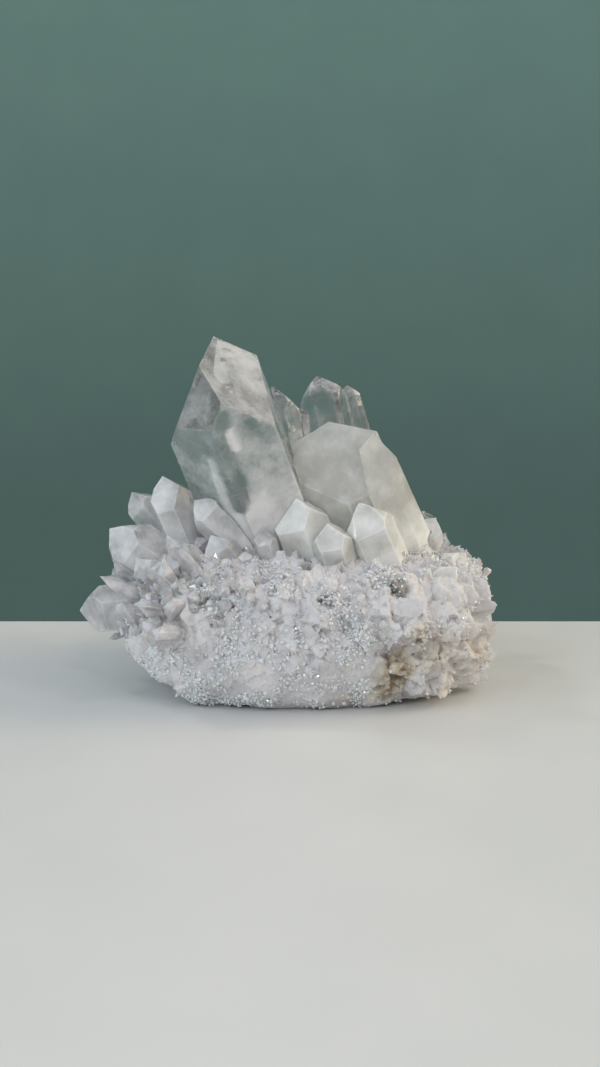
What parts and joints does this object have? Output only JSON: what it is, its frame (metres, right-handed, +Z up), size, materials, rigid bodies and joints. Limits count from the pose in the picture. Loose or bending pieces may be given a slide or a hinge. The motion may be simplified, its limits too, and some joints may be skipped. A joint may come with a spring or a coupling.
{
  "type": "quartz crystal cluster",
  "caption": "Natural cluster of clear and milky quartz points growing from a rough, sparkling, iron-stained lump of pale matrix that rests on its flat underside.",
  "frame": {"origin": "under the middle of the whole cluster, at the height it rests on", "axes": "+Z up; +X to the right along the longest extent; -Y towards the front, from which the tallest point leans to the left"},
  "size_m": [0.1002, 0.0802, 0.0841],
  "materials": {
    "clear_quartz": "gloss",
    "milky_quartz": "satin",
    "matrix_rock": "matte"
  },
  "bodies": {
    "root": {"matrix": "matrix_rock", "main_point": "clear_quartz", "blocky_point": "milky_quartz", "blocky_side_point": "milky_quartz", "front_step_point": "milky_quartz", "left_step_point": "milky_quartz", "front_low_point": "milky_quartz", "behind_left_point": "clear_quartz", "behind_mid_point": "clear_quartz", "back_clear_point": "clear_quartz", "back_thin_point": "clear_quartz", "left_high_point": "clear_quartz", "left_inner_point": "clear_quartz", "left_back_point": "clear_quartz", "left_wide_point": "clear_quartz", "left_spear": "clear_quartz", "left_low_point": "clear_quartz", "left_small_point": "clear_quartz", "low_left_point": "clear_quartz", "front_left_point": "clear_quartz", "front_mid_point": "clear_quartz", "right_point": "clear_quartz", "right_knob": "milky_quartz", "right_shoulder_point": "milky_quartz", "right_front_point": "milky_quartz", "back_high_point_1": "clear_quartz", "back_high_point_2": "clear_quartz", "back_high_point_3": "clear_quartz", "back_high_point_4": "clear_quartz", "back_high_point_5": "clear_quartz", "back_high_point_6": "clear_quartz", "back_low_point_1": "clear_quartz", "back_low_point_2": "clear_quartz", "back_low_point_3": "clear_quartz", "back_low_point_4": "clear_quartz", "back_low_point_5": "clear_quartz", "back_low_point_6": "clear_quartz", "back_low_point_7": "clear_quartz", "back_low_point_8": "clear_quartz"}
  },
  "joints": []
}
